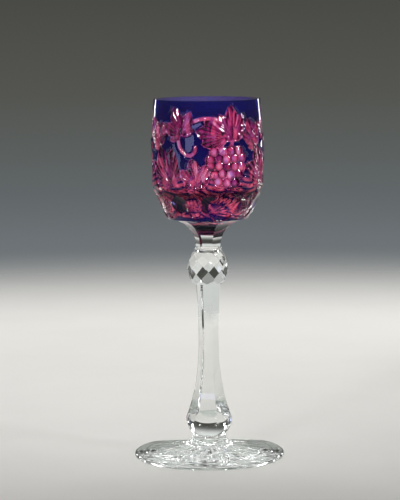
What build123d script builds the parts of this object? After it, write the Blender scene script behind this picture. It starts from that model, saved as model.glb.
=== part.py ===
"""Cordial glass with a cased and carved bowl on a cut crystal stem.

The glass stands on +Z with the centre of its foot at the origin. Eight gathers of glass are fused
face to face, from the table upwards: foot, button, stem, knop, collar, and a bowl of three layers
(ruby lining, cobalt layer, crystal casing). The carving is cut through the casing and the cobalt.
Angles round the bowl are measured from the front (-Y) towards +X. All sizes are in millimetres.
"""

import math
import os

from build123d import *

# Foot: a shallow cone with a rounded edge, recessed and star cut underneath
FOOT_RADIUS = 26.6
FOOT_EDGE_HEIGHT = 1.7
FOOT_HEIGHT = 6.4
FOOT_HUB_RADIUS = 6.2
FOOT_FLARE_RADIUS = 9.6
FOOT_FLARE_HEIGHT = 4.2
FOOT_REST_WIDTH = 3.4
FOOT_HOLLOW = 0.4
STAR_RAYS = 24
STAR_INNER_RADIUS = 2.2
STAR_MARGIN = 0.5
STAR_DEPTH = 0.4
STAR_WIDTH = 2.2

# Button between foot and stem
BUTTON_HEIGHT = 1.7
BUTTON_BULGE = 0.25

# Stem: a six-sided baluster, slender at its middle and full near the foot
STEM_HEIGHT = 53.6
STEM_SIDES = 6
STEM_TOP_RADIUS = 4.35
STEM_WAIST_RADIUS = 3.55
STEM_WAIST_RISE = 36.5
STEM_BULB_RADIUS = 8.25
STEM_BULB_RISE = 5.6
STEM_FOOT_RADIUS = 5.7
PANEL_TURN = -9.0

# Knop: a ball cut with rows of diamond facets
KNOP_HEIGHT = 11.4
KNOP_RADIUS = 7.45
KNOP_SIDES = 8
KNOP_TURN = 18.0
KNOP_ROW_TILT = 20.0
KNOP_CAP_TILT = 48.0
KNOP_END_RADIUS = 4.7

# Collar between knop and bowl
COLLAR_HEIGHT = 1.5
COLLAR_BULGE = 0.2

# Bowl: outer wall, measured upwards from the collar
BOWL_HEIGHT = 52.4
BOWL_RIM_RADIUS = 18.7
BOWL_BELLY_RADIUS = 19.9
BOWL_BELLY_RISE = 37.5
BOWL_SHOULDER_RADIUS = 19.55
BOWL_SHOULDER_RISE = 22.5
BOWL_LEDGE_RADIUS = 14.1
BOWL_LEDGE_RISE = 10.5
BOWL_LEDGE_BULGE = 0.7
FLUTE_WHEEL_RADIUS = 9.75
NECK_FLAT_RADIUS = 3.85

# Bowl: layers of glass, from the outside inwards
CASING_THICKNESS = 1.05
COBALT_THICKNESS = 0.35
RUBY_THICKNESS = 1.0
CUP_SPRING_RISE = 25.5
CUP_CORNER_RADIUS = 3.5
# The cup steps in over a sloping shelf to a narrow well, with thick clear glass round it
SHELF_RISE = 19.6
SHELF_SLOPE = 10.0
SHELF_FILLET = 2.5
WELL_RADIUS = 9.6
WELL_BOTTOM_RISE = 7.6
WELL_CORNER_RADIUS = 7.5

# Row of round lens cuts low on the casing
LENS_COUNT = 10
LENS_RADIUS = 3.4
LENS_DEPTH = 0.85
LENS_RISE = 16.4
LENS_TURN = -34.0

# Carved vine, repeated round the bowl: leaves of pointed lobes, a tendril and a bunch of grapes.
# It is drawn for a band of a set height and radius, and stretched to the band between its foot and the rim.
VINE_REPEATS = 3
VINE_FOOT_RISE = 20.0
VINE_RIM_MARGIN = 2.4
VINE_DRAWN_HEIGHT = 30.0
VINE_DRAWN_RADIUS = 19.9
LEAF_LOBE_WIDTH = 0.52
LEAF_LOBES = ((0, 1.0), (40, 0.85), (-40, 0.85), (78, 0.5), (-78, 0.5))
# Each leaf: angle and rise of its base, direction it points in, length, spread of its lobes
LEAVES = (
    (22, 20.2, 172, 12.2, 0.6),
    (28, 18.6, 92, 12.4, 0.7),
    (-28.5, 20.4, 100, 9.2, 1.15),
    (-43, 3.6, 113, 14.8, 0.62),
    (-11, 3.4, 102, 8.8, 0.85),
    (60, 17.0, 118, 9.0, 0.7),
)
TENDRIL_WIDTH = 1.3
TENDRIL_TURN = -3.0
# Tendril arcs as three points each: angle and rise
TENDRIL_ARCS = (
    ((24, 15.0), (27, 18.2), (32, 21.2)),
    ((32, 21.2), (1, 26.4), (-22, 23.9)),
    ((-22, 23.9), (-31, 18.0), (-24, 14.4)),
    ((-24, 14.4), (-17.5, 13.8), (-12.5, 16.4)),
)
GRAPE_ROWS = (4, 5, 5, 4, 3)
GRAPE_PITCH = 3.15
GRAPE_TURN = 21.0
GRAPE_TOP_RISE = 15.2
GRAPE_RELIEF = 0.6
GRAPE_WINDOW_SHARE = 0.61

# Heights of the joints between the gathers
BUTTON_BASE = FOOT_HEIGHT
STEM_BASE = BUTTON_BASE + BUTTON_HEIGHT
KNOP_BASE = STEM_BASE + STEM_HEIGHT
COLLAR_BASE = KNOP_BASE + KNOP_HEIGHT
BOWL_BASE = COLLAR_BASE + COLLAR_HEIGHT
RIM_HEIGHT = BOWL_BASE + BOWL_HEIGHT

# Stretch of the vine up the wall and round it, the mean of the two for the grapes, and the height of its foot
VINE_STRETCH = (BOWL_HEIGHT - VINE_RIM_MARGIN - VINE_FOOT_RISE) / VINE_DRAWN_HEIGHT
VINE_SPREAD = BOWL_BELLY_RADIUS / VINE_DRAWN_RADIUS
GRAPE_SCALE = math.sqrt(VINE_STRETCH * VINE_SPREAD)
VINE_BASE = BOWL_BASE + VINE_FOOT_RISE

# Reach of a cutter past the glass that it cuts
CLEAR = 5.0
# Share of a corner's radius at the middle of a panel
FLAT_SHARE = math.cos(math.pi / STEM_SIDES)


def turned(profile):
    """Solid of revolution about +Z of a closed chain of edges drawn in the XZ plane."""
    return revolve(make_face(profile), axis=Axis.Z)


def at(radius, height):
    """Point in the XZ plane."""
    return Vector(radius, 0, height)


def round_the_axis(shape, count, first):
    """Copies of a shape that faces the front, spread evenly round +Z from a first angle."""
    return [Rot(0, 0, first + 360 * i / count) * shape for i in range(count)]


def facing(angle, height, radius):
    """Plane square to a radius of the bowl, with its x to the right and its y up."""
    a = math.radians(angle)
    out = Vector(math.sin(a), -math.cos(a), 0)
    right = Vector(math.cos(a), math.sin(a), 0)
    return Plane(origin=out * radius + Vector(0, 0, height), x_dir=right, z_dir=out)


def make_foot():
    """Shallow cone with a flat resting ring, a recessed underside and a star of V-cut rays."""
    edge = FOOT_RADIUS - FOOT_EDGE_HEIGHT / 2
    rest_inner = edge - FOOT_REST_WIDTH
    foot = turned(
        [
            Line(at(0, FOOT_HOLLOW), at(rest_inner - FOOT_HOLLOW, FOOT_HOLLOW)),
            Line(at(rest_inner - FOOT_HOLLOW, FOOT_HOLLOW), at(rest_inner, 0)),
            Line(at(rest_inner, 0), at(edge, 0)),
            ThreePointArc(at(edge, 0), at(FOOT_RADIUS, FOOT_EDGE_HEIGHT / 2), at(edge, FOOT_EDGE_HEIGHT)),
            Line(at(edge, FOOT_EDGE_HEIGHT), at(FOOT_FLARE_RADIUS, FOOT_FLARE_HEIGHT)),
            TangentArc(
                at(FOOT_FLARE_RADIUS, FOOT_FLARE_HEIGHT),
                at(FOOT_HUB_RADIUS, FOOT_HEIGHT),
                tangent=at(FOOT_FLARE_RADIUS - edge, FOOT_FLARE_HEIGHT - FOOT_EDGE_HEIGHT),
            ),
            Line(at(FOOT_HUB_RADIUS, FOOT_HEIGHT), at(0, FOOT_HEIGHT)),
            Line(at(0, FOOT_HEIGHT), at(0, FOOT_HOLLOW)),
        ]
    )
    # Each ray is a V, deepest and widest half way along, that runs out at both ends
    far = rest_inner - FOOT_HOLLOW - STAR_MARGIN
    middle = (STAR_INNER_RADIUS + far) / 2
    root = FOOT_HOLLOW - STAR_DEPTH
    tip = Vector(0, -middle, FOOT_HOLLOW + STAR_DEPTH)
    left = Vector(-STAR_WIDTH, -middle, root)
    right = Vector(STAR_WIDTH, -middle, root)
    section = make_face([Line(tip, left), Line(left, right), Line(right, tip)])
    inner = Vertex(0, -STAR_INNER_RADIUS, FOOT_HOLLOW)
    outer = Vertex(0, -far, FOOT_HOLLOW)
    ray = loft([inner, section, outer], ruled=True)
    return foot - round_the_axis(ray, STAR_RAYS, 0)


def make_button():
    """Short rounded disc that joins the stem to the foot."""
    top = BUTTON_BASE + BUTTON_HEIGHT
    middle = BUTTON_BASE + BUTTON_HEIGHT / 2
    belly = (FOOT_HUB_RADIUS + STEM_FOOT_RADIUS) / 2 + BUTTON_BULGE
    return turned(
        [
            Line(at(0, BUTTON_BASE), at(FOOT_HUB_RADIUS, BUTTON_BASE)),
            ThreePointArc(at(FOOT_HUB_RADIUS, BUTTON_BASE), at(belly, middle), at(STEM_FOOT_RADIUS, top)),
            Line(at(STEM_FOOT_RADIUS, top), at(0, top)),
            Line(at(0, top), at(0, BUTTON_BASE)),
        ]
    )


def make_stem():
    """Round baluster cut with flat panels that follow one curve from the knop to the bulb."""
    top = STEM_BASE + STEM_HEIGHT
    bulb = STEM_BASE + STEM_BULB_RISE
    waist = STEM_BASE + STEM_WAIST_RISE
    blank = turned(
        [
            Line(at(0, STEM_BASE), at(STEM_FOOT_RADIUS, STEM_BASE)),
            TangentArc(at(STEM_BULB_RADIUS, bulb), at(STEM_FOOT_RADIUS, STEM_BASE), tangent=(0, 0, -1)),
            Line(at(STEM_BULB_RADIUS, bulb), at(STEM_BULB_RADIUS, top)),
            Line(at(STEM_BULB_RADIUS, top), at(0, top)),
            Line(at(0, top), at(0, STEM_BASE)),
        ]
    )
    end = STEM_BASE - CLEAR
    curve = Spline(
        at(STEM_TOP_RADIUS * FLAT_SHARE, top),
        at(STEM_WAIST_RADIUS * FLAT_SHARE, waist),
        at(STEM_BULB_RADIUS * FLAT_SHARE, bulb),
        at(STEM_BULB_RADIUS * FLAT_SHARE + CLEAR, end),
    )
    side = 2 * STEM_BULB_RADIUS
    waste = make_face(
        [
            curve,
            Line(at(STEM_BULB_RADIUS * FLAT_SHARE + CLEAR, end), at(side, end)),
            Line(at(side, end), at(side, top)),
            Line(at(side, top), at(STEM_TOP_RADIUS * FLAT_SHARE, top)),
        ]
    )
    panel = Rot(0, 0, -90) * extrude(waste, amount=side, both=True)
    return blank - round_the_axis(panel, STEM_SIDES, PANEL_TURN)


def make_knop():
    """Ball cut to flat facets: a middle row of diamonds between two staggered rows and two caps."""
    middle = KNOP_BASE + KNOP_HEIGHT / 2
    half_pitch = math.pi / KNOP_SIDES
    pitch = 360 / KNOP_SIDES
    row_distance = KNOP_RADIUS * math.cos(math.radians(KNOP_ROW_TILT))
    cap_tilt = math.radians(KNOP_CAP_TILT)
    cap_distance = KNOP_END_RADIUS * math.cos(cap_tilt) + KNOP_HEIGHT / 2 * math.sin(cap_tilt)
    rows = [
        (0, KNOP_RADIUS * math.cos(half_pitch), KNOP_TURN),
        (KNOP_ROW_TILT, row_distance, KNOP_TURN + pitch / 2),
        (-KNOP_ROW_TILT, row_distance, KNOP_TURN + pitch / 2),
        (KNOP_CAP_TILT, cap_distance, KNOP_TURN),
        (-KNOP_CAP_TILT, cap_distance, KNOP_TURN),
    ]
    side = 4 * KNOP_RADIUS
    knop = Pos(0, 0, middle) * Cylinder(KNOP_RADIUS / math.cos(half_pitch), KNOP_HEIGHT)
    for tilt, distance, turn in rows:
        a = math.radians(tilt)
        out = Vector(0, -math.cos(a), math.sin(a))
        plane = Plane(origin=out * distance + Vector(0, 0, middle), x_dir=(1, 0, 0), z_dir=out)
        waste = extrude(plane * Rectangle(side, side), amount=side)
        knop -= round_the_axis(waste, KNOP_SIDES, turn)
    return knop


def make_collar():
    """Thin rounded disc that joins the bowl to the knop."""
    top = COLLAR_BASE + COLLAR_HEIGHT
    edge = KNOP_END_RADIUS
    middle = COLLAR_BASE + COLLAR_HEIGHT / 2
    return turned(
        [
            Line(at(0, COLLAR_BASE), at(edge, COLLAR_BASE)),
            ThreePointArc(at(edge, COLLAR_BASE), at(edge + COLLAR_BULGE, middle), at(edge, top)),
            Line(at(edge, top), at(0, top)),
            Line(at(0, top), at(0, COLLAR_BASE)),
        ]
    )


def bowl_blank():
    """The bowl as one solid, before its flutes are cut and with its cup filled."""
    rim = at(BOWL_RIM_RADIUS, RIM_HEIGHT)
    belly = at(BOWL_BELLY_RADIUS, BOWL_BASE + BOWL_BELLY_RISE)
    shoulder = at(BOWL_SHOULDER_RADIUS, BOWL_BASE + BOWL_SHOULDER_RISE)
    ledge = at(BOWL_LEDGE_RADIUS, BOWL_BASE + BOWL_LEDGE_RISE)
    chord = (ledge - shoulder).normalized()
    bulge = (shoulder + ledge) / 2 + Vector(-chord.Z, 0, chord.X) * BOWL_LEDGE_BULGE
    root = at(BOWL_LEDGE_RADIUS / 2, BOWL_BASE)
    return turned(
        [
            Line(at(0, BOWL_BASE), root),
            Line(root, ledge),
            ThreePointArc(ledge, bulge, shoulder),
            ThreePointArc(shoulder, belly, rim),
            Line(rim, at(0, RIM_HEIGHT)),
            Line(at(0, RIM_HEIGHT), at(0, BOWL_BASE)),
        ]
    )


def rounded(points, radii):
    """Chain of lines through points, with an arc of its own radius at each corner between them."""
    chain = []
    here = points[0]
    for before, corner, after, radius in zip(points, points[1:], points[2:], radii):
        back = (before - corner).normalized()
        ahead = (after - corner).normalized()
        half = math.acos(back.dot(ahead)) / 2
        inward = (back + ahead).normalized()
        start = corner + back * (radius / math.tan(half))
        end = corner + ahead * (radius / math.tan(half))
        middle = corner + inward * (radius / math.sin(half) - radius)
        chain += [Line(here, start), ThreePointArc(start, middle, end)]
        here = end
    return chain + [Line(here, points[-1])]


def cup_wall(inset):
    """Profile of the cup from the middle of its floor to the rim, taken in by inset from the casing."""
    wall = CASING_THICKNESS + inset
    rim = at(BOWL_RIM_RADIUS - wall, RIM_HEIGHT)
    belly = at(BOWL_BELLY_RADIUS - wall, BOWL_BASE + BOWL_BELLY_RISE)
    start = at(BOWL_SHOULDER_RADIUS - wall, BOWL_BASE + CUP_SPRING_RISE)
    slope = math.radians(SHELF_SLOPE)
    shelf = BOWL_BASE + SHELF_RISE + inset / math.cos(slope)
    well = WELL_RADIUS - inset
    low = at(0, BOWL_BASE + WELL_BOTTOM_RISE + inset)
    points = [
        low,
        at(well, low.Z),
        at(well, shelf - inset * math.tan(slope)),
        at(start.X, shelf + (start.X - WELL_RADIUS) * math.tan(slope)),
        start,
    ]
    radii = (WELL_CORNER_RADIUS - inset, SHELF_FILLET + inset, CUP_CORNER_RADIUS - inset)
    return rounded(points, radii) + [ThreePointArc(start, belly, rim)]


def cup_solid(inset):
    """The cup as one solid up to the rim, its wall taken in by inset."""
    wall = cup_wall(inset)
    top = at(0, RIM_HEIGHT)
    return turned(wall + [Line(wall[-1] @ 1, top), Line(top, wall[0] @ 0)])


def layer(outer, inner):
    """One layer of the cup, between two insets, open at the rim."""
    outside = cup_wall(outer)
    inside = cup_wall(inner)
    lip = Line(outside[-1] @ 1, inside[-1] @ 1)
    floor = Line(inside[0] @ 0, outside[0] @ 0)
    return turned(outside + [lip] + inside + [floor])


def flutes():
    """Wheels that scoop the underside of the bowl into flat-sided flutes, one over each stem panel."""
    centre = BOWL_BASE + BOWL_LEDGE_RISE - FLUTE_WHEEL_RADIUS
    out = NECK_FLAT_RADIUS + FLUTE_WHEEL_RADIUS
    wheel = Cylinder(FLUTE_WHEEL_RADIUS, 4 * BOWL_LEDGE_RADIUS)
    scoop = Pos(0, -out, centre) * Rot(0, 90, 0) * wheel
    depth = centre - BOWL_BASE
    side = 2 * FLUTE_WHEEL_RADIUS
    below = Pos(0, -out, BOWL_BASE + depth / 2) * Box(4 * BOWL_LEDGE_RADIUS, side, depth)
    return round_the_axis(scoop, STEM_SIDES, PANEL_TURN) + round_the_axis(below, STEM_SIDES, PANEL_TURN)


def lens_cuts():
    """Shallow round hollows ground into the casing where it thickens towards its foot."""
    sphere = (LENS_RADIUS**2 + LENS_DEPTH**2) / (2 * LENS_DEPTH)
    run = (BOWL_LEDGE_RISE - BOWL_SHOULDER_RISE) / (BOWL_LEDGE_RADIUS - BOWL_SHOULDER_RADIUS)
    share = (LENS_RISE - BOWL_LEDGE_RISE) / (BOWL_SHOULDER_RISE - BOWL_LEDGE_RISE)
    surface = BOWL_LEDGE_RADIUS + share * (BOWL_SHOULDER_RADIUS - BOWL_LEDGE_RADIUS)
    slope = math.atan(1 / run)
    lift = sphere - LENS_DEPTH + BOWL_LEDGE_BULGE
    out = Vector(0, -surface, BOWL_BASE + LENS_RISE) + Vector(0, -math.cos(slope), -math.sin(slope)) * lift
    return round_the_axis(Pos(*out) * Sphere(sphere), LENS_COUNT, LENS_TURN)


def stretched(point):
    """A point of the drawn vine, stretched to the wall of the bowl."""
    return Vector(point.X * VINE_SPREAD, point.Y * VINE_STRETCH)


def leaf_window(angle, rise, heading, length, spread):
    """Prism through the wall in the shape of a leaf whose lobes spread from its base."""
    middle = Vector(length / 2, 0).rotate(Axis.Z, heading)
    lobes = []
    for turn, share in LEAF_LOBES:
        reach = share * length
        half = reach * LEAF_LOBE_WIDTH / 2
        drawn = [Vector(0, 0), Vector(reach / 2, half), Vector(reach, 0), Vector(reach / 2, -half)]
        placed = [stretched(point.rotate(Axis.Z, heading + turn * spread) - middle) for point in drawn]
        root, upper, tip, lower = placed
        lobes.append(make_face([ThreePointArc(root, upper, tip), ThreePointArc(tip, lower, root)]))
    middle_angle = angle + math.degrees(middle.X / VINE_DRAWN_RADIUS)
    middle_height = VINE_BASE + (rise + middle.Y) * VINE_STRETCH
    plane = facing(middle_angle, middle_height, BOWL_BELLY_RADIUS / 2)
    return extrude(plane * (Sketch() + lobes), amount=BOWL_BELLY_RADIUS)


def tendril_window():
    """Prism through the wall along the curling stalk that carries the leaves and the grapes."""
    step = math.radians(1) * BOWL_BELLY_RADIUS
    stalk = Sketch()
    for arc in TENDRIL_ARCS:
        points = [((angle - TENDRIL_TURN) * step, rise * VINE_STRETCH) for angle, rise in arc]
        stalk += trace(ThreePointArc(*points), line_width=TENDRIL_WIDTH)
    plane = facing(TENDRIL_TURN, VINE_BASE, BOWL_BELLY_RADIUS / 2)
    return extrude(plane * stalk, amount=BOWL_BELLY_RADIUS)


def grape_places():
    """Offset of each grape from the top middle of its bunch, right and up."""
    drop = GRAPE_PITCH * math.sin(math.radians(60))
    for row, count in enumerate(GRAPE_ROWS):
        for i in range(count):
            yield (i - (count - 1) / 2) * GRAPE_PITCH * VINE_SPREAD, -row * drop * VINE_STRETCH


def grape_window():
    """Prism through the wall round a bunch of grapes."""
    window = Circle(GRAPE_PITCH * GRAPE_SCALE * GRAPE_WINDOW_SHARE)
    bunch = Sketch() + [Pos(x, y) * window for x, y in grape_places()]
    plane = facing(GRAPE_TURN, VINE_BASE + GRAPE_TOP_RISE * VINE_STRETCH, BOWL_BELLY_RADIUS / 2)
    return extrude(plane * bunch, amount=BOWL_BELLY_RADIUS)


def grape_ground(bunch):
    """What is cut from the ruby round the grapes, so that each one stands up as a dome."""
    ground = bunch - cup_solid(COBALT_THICKNESS + GRAPE_RELIEF)
    half = GRAPE_PITCH * GRAPE_SCALE / 2
    dome = (half**2 + GRAPE_RELIEF**2) / (2 * GRAPE_RELIEF)
    skin = BOWL_SHOULDER_RADIUS - CASING_THICKNESS - COBALT_THICKNESS
    domes = []
    for x, y in grape_places():
        angle = GRAPE_TURN + math.degrees(x / BOWL_BELLY_RADIUS)
        height = VINE_BASE + GRAPE_TOP_RISE * VINE_STRETCH + y
        place = facing(angle, height, skin - dome)
        domes.append(Pos(*place.origin) * Sphere(dome))
    return ground - domes


def largest(shape):
    """The body of a carved layer, without the slivers that the cuts set free between lobes and grapes."""
    return shape.solids().sort_by(SortBy.VOLUME)[-1]


def export(shape, name):
    """Writes one piece and prints its volume in cubic millimetres."""
    shape.label = name
    export_step(shape, f"parts/{name}.step")
    print(f"{name}: {len(shape.solids())} solid, {shape.volume:.1f} mm3")


def main():
    os.makedirs("parts", exist_ok=True)
    bunch = grape_window()
    carving = [leaf_window(*leaf) for leaf in LEAVES] + [tendril_window(), bunch]
    windows = [copy for cut in carving for copy in round_the_axis(cut, VINE_REPEATS, 0)]
    ground = round_the_axis(grape_ground(bunch), VINE_REPEATS, 0)

    export(make_foot(), "foot")
    export(make_button(), "foot_button")
    export(make_stem(), "stem")
    export(make_knop(), "knop")
    export(make_collar(), "neck_collar")
    casing = bowl_blank() - cup_solid(0) - flutes() - lens_cuts() - windows
    export(largest(casing), "crystal_casing")
    export(largest(layer(0, COBALT_THICKNESS) - windows), "cobalt_layer")
    export(layer(COBALT_THICKNESS, COBALT_THICKNESS + RUBY_THICKNESS) - ground, "ruby_lining")


main()
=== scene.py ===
"""Cordial glass: a carved bowl of crystal over cobalt over ruby, on a cut crystal stem and foot.

Sizes are in millimetres and become metres when a mesh is made. Angles round the glass are in degrees,
from the front (-Y) towards +X. Each gather of glass is a closed piece, and the faces on which two
gathers are fused are clear, so that the light bends only where glass meets air.
"""
import math

import bpy
import numpy as np
from mathutils import Matrix


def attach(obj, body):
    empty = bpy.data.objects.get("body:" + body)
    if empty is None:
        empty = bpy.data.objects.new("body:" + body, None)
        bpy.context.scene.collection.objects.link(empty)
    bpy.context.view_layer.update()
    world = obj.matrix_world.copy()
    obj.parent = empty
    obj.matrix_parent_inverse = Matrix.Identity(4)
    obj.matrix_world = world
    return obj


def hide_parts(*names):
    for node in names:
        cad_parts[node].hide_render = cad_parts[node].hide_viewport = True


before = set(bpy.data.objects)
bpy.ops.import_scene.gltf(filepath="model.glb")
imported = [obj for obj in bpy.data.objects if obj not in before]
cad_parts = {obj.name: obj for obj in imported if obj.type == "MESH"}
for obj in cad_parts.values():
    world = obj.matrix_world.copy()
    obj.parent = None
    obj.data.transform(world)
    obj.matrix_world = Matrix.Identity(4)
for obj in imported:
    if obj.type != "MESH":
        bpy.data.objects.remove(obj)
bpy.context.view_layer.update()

MM = 0.001
# Fused faces stand this far apart, so that a ray of light meets each of them by itself
JOINT_GAP = 0.01
# Points closer than this are welded into one
WELD = 0.002
# Sides of the stem and flutes of the bowl, and the angle that the first of them faces
STEM_SIDES, PANEL_TURN = 6, -9.0

# Heights of the joints, from the table up
FOOT_TOP = 6.4
BUTTON_TOP = 8.1
STEM_TOP = 61.7
KNOP_TOP = 73.1
COLLAR_TOP = 74.6
# Radius of the button's base, and distance of a flat from the axis at the stem's top and the bowl's neck
BUTTON_RADIUS = 6.2
STEM_END, NECK_FLAT = 3.767, 3.85
# Facets in a row of the knop, the angle of the first, and distance of a side from the axis at the flat ends
KNOP_SIDES, KNOP_TURN, KNOP_END = 8, 18.0, 4.7


# Modelling by hand

def clear_selection():
    """Nothing selected and no mesh open, before the next piece is begun."""
    if bpy.context.object and bpy.context.object.mode != "OBJECT":
        bpy.ops.object.mode_set(mode="OBJECT")
    bpy.ops.object.select_all(action="DESELECT")


def take_up(piece):
    """One piece alone selected, to be worked on."""
    clear_selection()
    piece.select_set(True)
    bpy.context.view_layer.objects.active = piece


def weld_and_close():
    """Welds the points of the open mesh that fall together, turns its faces outwards and closes it."""
    bpy.ops.mesh.select_all(action="SELECT")
    bpy.ops.mesh.remove_doubles(threshold=WELD * MM)
    bpy.ops.mesh.normals_make_consistent(inside=False)
    bpy.ops.object.mode_set(mode="OBJECT")


def corners(piece):
    """Every point of a piece, in millimetres."""
    flat = np.empty(len(piece.data.vertices) * 3, np.float32)
    piece.data.vertices.foreach_get("co", flat)
    return flat.reshape(-1, 3).astype(float) / MM


def move_corners(piece, places):
    """Puts every point of a piece where it is cut or ground to."""
    piece.data.vertices.foreach_set("co", (places * MM).astype(np.float32).ravel())
    piece.data.update()


def rings_and_columns(piece, profile, columns, first):
    """Which point of the profile each corner was turned from, and on which column it lies."""
    place = corners(piece)
    radius = np.hypot(place[:, 0], place[:, 1])
    ring = np.empty(len(place), int)
    shape = np.array(profile)
    batch = 4000
    for start in range(0, len(place), batch):
        part = slice(start, start + batch)
        far = (radius[part, None] - shape[:, 0]) ** 2 + (place[part, 2, None] - shape[:, 1]) ** 2
        ring[part] = far.argmin(axis=1)
    angle = np.degrees(np.arctan2(place[:, 0], -place[:, 1]))
    column = np.rint((angle - first) * columns / 360).astype(int) % columns
    return ring, column


def turn_on_lathe(name, profile, columns, first):
    """Turns a profile of (radius, height) points about the upright axis, from a first angle. Gives the
    piece, and the ring and the column of each of its corners."""
    clear_selection()
    bpy.ops.mesh.primitive_plane_add(size=MM)
    piece = bpy.context.object
    piece.name = piece.data.name = name
    a = math.radians(first)
    points = [(r * math.sin(a) * MM, -r * math.cos(a) * MM, z * MM) for r, z in profile]
    bpy.ops.object.mode_set(mode="EDIT")
    bpy.ops.mesh.select_all(action="SELECT")
    bpy.ops.mesh.merge(type="CENTER")
    bpy.ops.transform.translate(value=points[0])
    for here, there in zip(points, points[1:]):
        step = [q - p for p, q in zip(here, there)]
        bpy.ops.mesh.extrude_region_move(TRANSFORM_OT_translate={"value": step})
    bpy.ops.object.mode_set(mode="OBJECT")
    lathe = piece.modifiers.new("lathe", "SCREW")
    lathe.axis = "Z"
    lathe.steps = lathe.render_steps = columns
    bpy.ops.object.modifier_apply(modifier=lathe.name)
    bpy.ops.object.mode_set(mode="EDIT")
    weld_and_close()
    return (piece, *rings_and_columns(piece, profile, columns, first))


def round_axis(radius, angle, height):
    """Points in space from radius, angle and height."""
    a = np.radians(angle)
    return np.stack([radius * np.sin(a), -radius * np.cos(a), height], axis=-1)


def face_corners(mesh):
    """The corners of all faces in a row, and where in the row each face starts."""
    owner = np.empty(len(mesh.loops), int)
    mesh.loops.foreach_get("vertex_index", owner)
    start = np.empty(len(mesh.polygons), int)
    mesh.polygons.foreach_get("loop_start", start)
    return owner, start


def face_bands(piece, ring):
    """Lowest and highest ring that each face touches."""
    owner, start = face_corners(piece.data)
    return np.minimum.reduceat(ring[owner], start), np.maximum.reduceat(ring[owner], start)


def paint_faces(piece, materials, choice):
    """Gives each face of a piece one of the materials, by number."""
    piece.data.materials.clear()
    for material in materials:
        piece.data.materials.append(material)
    piece.data.polygons.foreach_set("material_index", np.asarray(choice, np.int32))
    piece.data.update()


def finish_piece(piece, node, crease):
    """Smooth shading with true arrises, and the piece in its place on the glass."""
    take_up(piece)
    bpy.ops.object.shade_smooth_by_angle(angle=math.radians(crease))
    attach(piece, "root")
    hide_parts(node)


def circle_through(first, middle, last):
    """Centre and radius of the circle through three points."""
    (ax, ay), (bx, by), (cx, cy) = first, middle, last
    d = 2 * (ax * (by - cy) + bx * (cy - ay) + cx * (ay - by))
    a2, b2, c2 = ax * ax + ay * ay, bx * bx + by * by, cx * cx + cy * cy
    ox = (a2 * (by - cy) + b2 * (cy - ay) + c2 * (ay - by)) / d
    oy = (a2 * (cx - bx) + b2 * (ax - cx) + c2 * (bx - ax)) / d
    return ox, oy, math.hypot(ax - ox, ay - oy)


def arc_through(first, middle, last, steps):
    """Points along the arc through three points, the ends included."""
    ox, oy, radius = circle_through(first, middle, last)
    whole = 2 * math.pi
    start, through, end = (math.atan2(y - oy, x - ox) for x, y in (first, middle, last))
    turn = (end - start) % whole
    if (through - start) % whole > turn:
        turn -= whole
    angles = [start + turn * i / steps for i in range(steps + 1)]
    return [(ox + radius * math.cos(t), oy + radius * math.sin(t)) for t in angles]


def line_points(first, last, steps):
    """Points along a straight line, the ends included."""
    share = [i / steps for i in range(steps + 1)]
    return [tuple(a + (b - a) * s for a, b in zip(first, last)) for s in share]


def off_panel(angle, sides, turn):
    """Angle from the middle of the nearest of the flat sides, in radians."""
    pitch = 360 / sides
    return np.radians((angle - turn + pitch / 2) % pitch - pitch / 2)


# Materials

def linear(code):
    """An sRGB hex colour as the linear colour that a shader takes."""
    parts = [int(code[i:i + 2], 16) / 255 for i in (1, 3, 5)]
    return [c / 12.92 if c <= 0.04045 else ((c + 0.055) / 1.055) ** 2.4 for c in parts] + [1.0]


def new_material(name):
    """An empty node material with its output."""
    material = bpy.data.materials.new(name)
    material.use_nodes = True
    material.node_tree.nodes.clear()
    return material, material.node_tree


def add_node(tree, kind, settings=None, values=None, links=None):
    """Adds a node: its settings, the values of its sockets, and what is linked into them."""
    node = tree.nodes.new(kind)
    for key, value in (settings or {}).items():
        setattr(node, key, value)
    for key, value in (values or {}).items():
        node.inputs[key].default_value = value
    for key, (source, socket) in (links or {}).items():
        tree.links.new(source.outputs[socket], node.inputs[key])
    return node


def lamps_through(tree, glass, colour):
    """Lets lamps shine through a glass, weakened to a colour, on what lies behind it."""
    passed = add_node(tree, "ShaderNodeBsdfTransparent", values={"Color": linear(colour)})
    path = add_node(tree, "ShaderNodeLightPath")
    both = add_node(
        tree, "ShaderNodeMixShader",
        links={"Fac": (path, "Is Shadow Ray"), 1: (glass, "BSDF"), 2: (passed, "BSDF")},
    )
    add_node(tree, "ShaderNodeOutputMaterial", links={"Surface": (both, "Shader")})


def polished_crystal(name, colour, shine):
    """Lead crystal, wheel cut and acid polished: bright, with a faint ripple left by the wheel. The colour is
    what it lets through, and the shine what it mirrors."""
    material, tree = new_material(name)
    place = add_node(tree, "ShaderNodeTexCoord")
    ripple = add_node(
        tree, "ShaderNodeTexNoise", values={"Scale": 1 / (5.0 * MM), "Detail": 1.0},
        links={"Vector": (place, "Object")},
    )
    bump = add_node(
        tree, "ShaderNodeBump", values={"Strength": 0.015, "Distance": 0.1 * MM},
        links={"Height": (ripple, "Fac")},
    )
    haze = add_node(
        tree, "ShaderNodeMapRange", values={"To Min": 0.0, "To Max": 0.015},
        links={"Value": (ripple, "Fac")},
    )
    glass = add_node(
        tree, "ShaderNodeBsdfPrincipled",
        values={
            "Base Color": linear(colour), "IOR": 1.54, "Transmission Weight": 1.0,
            "Specular Tint": linear(shine),
        },
        links={"Roughness": (haze, "Result"), "Normal": (bump, "Normal")},
    )
    lamps_through(tree, glass, "#DDE2E1")
    return material


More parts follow.
